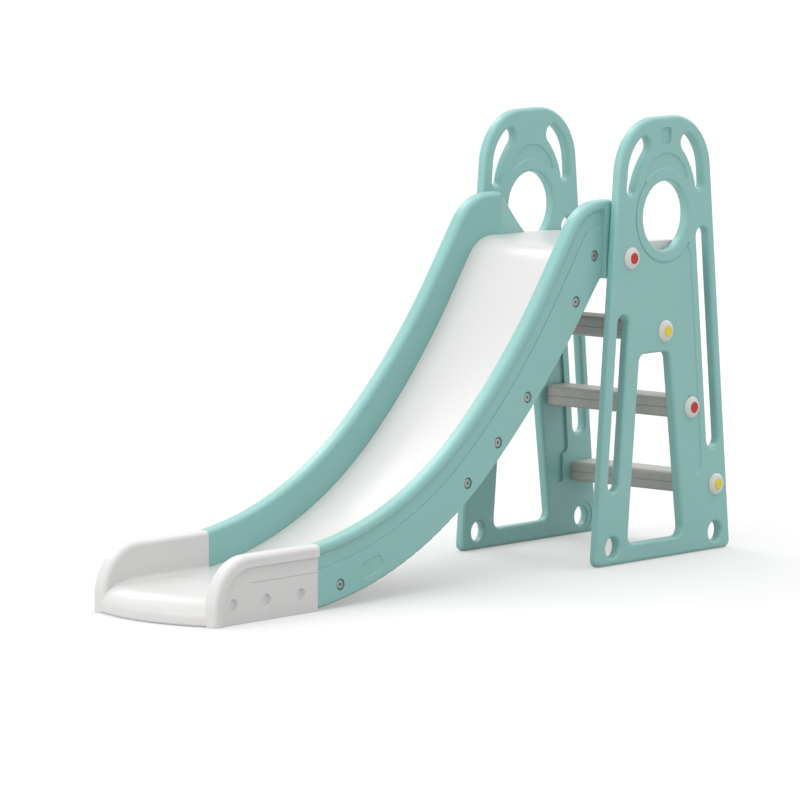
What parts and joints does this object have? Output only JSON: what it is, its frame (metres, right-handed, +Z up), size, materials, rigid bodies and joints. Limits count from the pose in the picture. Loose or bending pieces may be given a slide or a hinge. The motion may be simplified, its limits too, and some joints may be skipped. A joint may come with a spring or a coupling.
{
  "type": "toddler slide",
  "caption": "Free-standing moulded plastic toddler slide: arched side panels carry climbing steps and a deck, and a railed chute curves down to an exit trough.",
  "frame": {"origin": "on the floor, midway between the front of the exit trough and the back of the side panels, in the plane half-way between the panels", "axes": "+X from the exit trough towards the steps, +Y towards the left side panel, +Z up"},
  "size_m": [1.7199, 0.444, 1],
  "materials": {
    "teal_plastic": "satin, coloured in the mass",
    "white_plastic": "satin, smooth sliding face",
    "grey_plastic": "satin, grained tread",
    "cap_plastic": "gloss",
    "red_plastic": "gloss",
    "yellow_plastic": "gloss",
    "zinc_steel": "bright zinc plate",
    "insert_steel": "plain"
  },
  "bodies": {
    "root": {"deck_bolts": "zinc_steel", "deck_inserts": "insert_steel", "exit_trough": "white_plastic", "left_deck_cap": "cap_plastic", "left_deck_plug": "red_plastic", "left_lower_step_cap": "cap_plastic", "left_lower_step_plug": "yellow_plastic", "left_middle_step_cap": "cap_plastic", "left_middle_step_plug": "red_plastic", "left_rail": "teal_plastic", "left_rail_screws": "zinc_steel", "left_side_panel": "teal_plastic", "left_upper_step_cap": "cap_plastic", "left_upper_step_plug": "yellow_plastic", "lower_step": "grey_plastic", "middle_step": "grey_plastic", "right_deck_cap": "cap_plastic", "right_deck_plug": "red_plastic", "right_lower_step_cap": "cap_plastic", "right_lower_step_plug": "yellow_plastic", "right_middle_step_cap": "cap_plastic", "right_middle_step_plug": "red_plastic", "right_rail": "teal_plastic", "right_rail_screws": "zinc_steel", "right_side_panel": "teal_plastic", "right_upper_step_cap": "cap_plastic", "right_upper_step_plug": "yellow_plastic", "slide_bed": "white_plastic", "step_bolts": "zinc_steel", "step_inserts": "insert_steel", "upper_step": "grey_plastic"}
  },
  "joints": []
}
